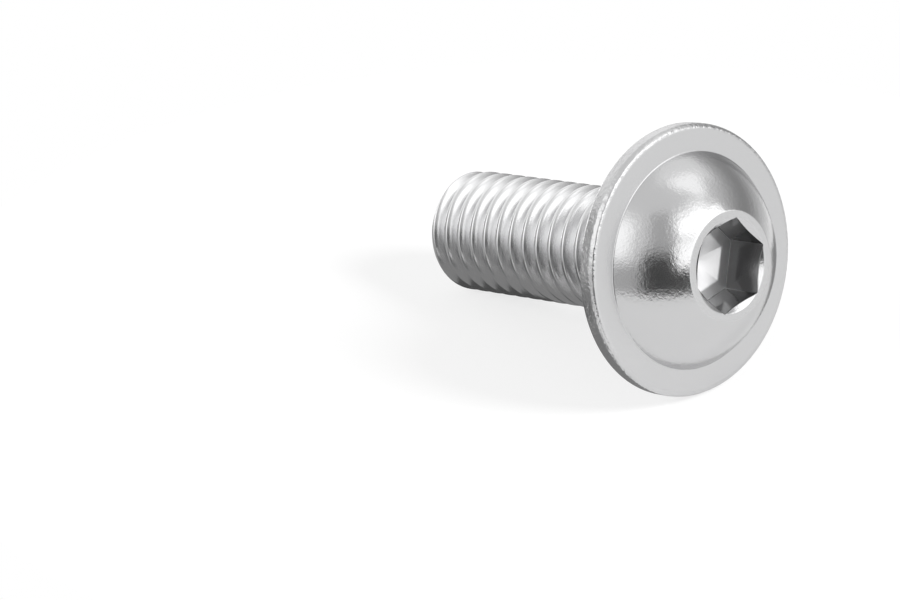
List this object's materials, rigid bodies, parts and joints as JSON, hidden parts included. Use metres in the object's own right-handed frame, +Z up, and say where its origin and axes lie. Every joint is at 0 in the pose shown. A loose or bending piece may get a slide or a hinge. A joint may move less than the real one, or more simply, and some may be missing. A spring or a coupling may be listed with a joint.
{
  "type": "flanged button head screw",
  "caption": "Machine screw with a domed button head on a wide round collar, a hexagon socket and a right-handed thread with a chamfered tip.",
  "frame": {"origin": "on the floor, under the middle of the bounds of the screw as it lies at rest", "axes": "+X along the lying screw towards its head, which the axis climbs by 14 degrees, +Z up"},
  "size_m": [0.0254, 0.0172, 0.017],
  "materials": {
    "steel": "bright zinc plated, satin, with a grainy rim and dome"
  },
  "bodies": {
    "root": {"screw": "steel"}
  },
  "joints": []
}
